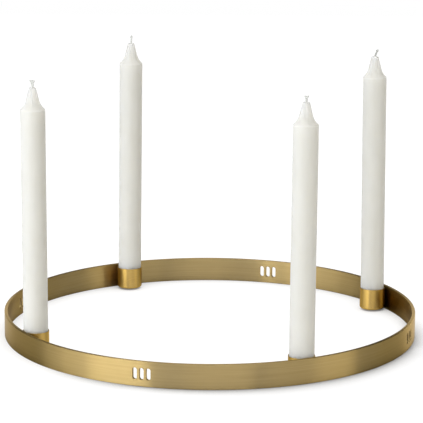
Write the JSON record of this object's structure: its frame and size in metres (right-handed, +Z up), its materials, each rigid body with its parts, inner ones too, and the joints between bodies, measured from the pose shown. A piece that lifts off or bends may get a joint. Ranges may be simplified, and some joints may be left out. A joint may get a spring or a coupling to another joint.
{
  "type": "advent candle holder",
  "caption": "Advent candle holder: a flat brass hoop on its edge with round candle cups inside it, slots between the cups, and pale dinner candles that lift out.",
  "frame": {"origin": "middle of the hoop, on the plane that it stands on", "axes": "+Z up along the candles; the right candle stands on +X and the back candle on +Y"},
  "size_m": [0.3799, 0.38, 0.2521],
  "materials": {
    "brass": "satin, brushed along the band",
    "cup_brass": "satin, turned",
    "braze_metal": "satin",
    "wax": "matt off-white wax",
    "cotton": "undyed braided cotton"
  },
  "bodies": {
    "holder": {"hoop_band": "brass", "cup_right": "cup_brass", "cup_back": "cup_brass", "cup_left": "cup_brass", "cup_front": "cup_brass", "braze_right": "braze_metal", "braze_back": "braze_metal", "braze_left": "braze_metal", "braze_front": "braze_metal"},
    "right_candle": {"candle_right": "wax", "wick_right": "cotton"},
    "back_candle": {"candle_back": "wax", "wick_back": "cotton"},
    "left_candle": {"candle_left": "wax", "wick_left": "cotton"},
    "front_candle": {"candle_front": "wax", "wick_front": "cotton"}
  },
  "joints": [
    {"name": "right_candle_lift", "type": "slide", "parent": "holder", "child": "right_candle", "axis": [0, 0, 1], "range_m": [0, 0.04]},
    {"name": "back_candle_lift", "type": "slide", "parent": "holder", "child": "back_candle", "axis": [0, 0, 1], "range_m": [0, 0.04]},
    {"name": "left_candle_lift", "type": "slide", "parent": "holder", "child": "left_candle", "axis": [0, 0, 1], "range_m": [0, 0.04]},
    {"name": "front_candle_lift", "type": "slide", "parent": "holder", "child": "front_candle", "axis": [0, 0, 1], "range_m": [0, 0.04]}
  ]
}
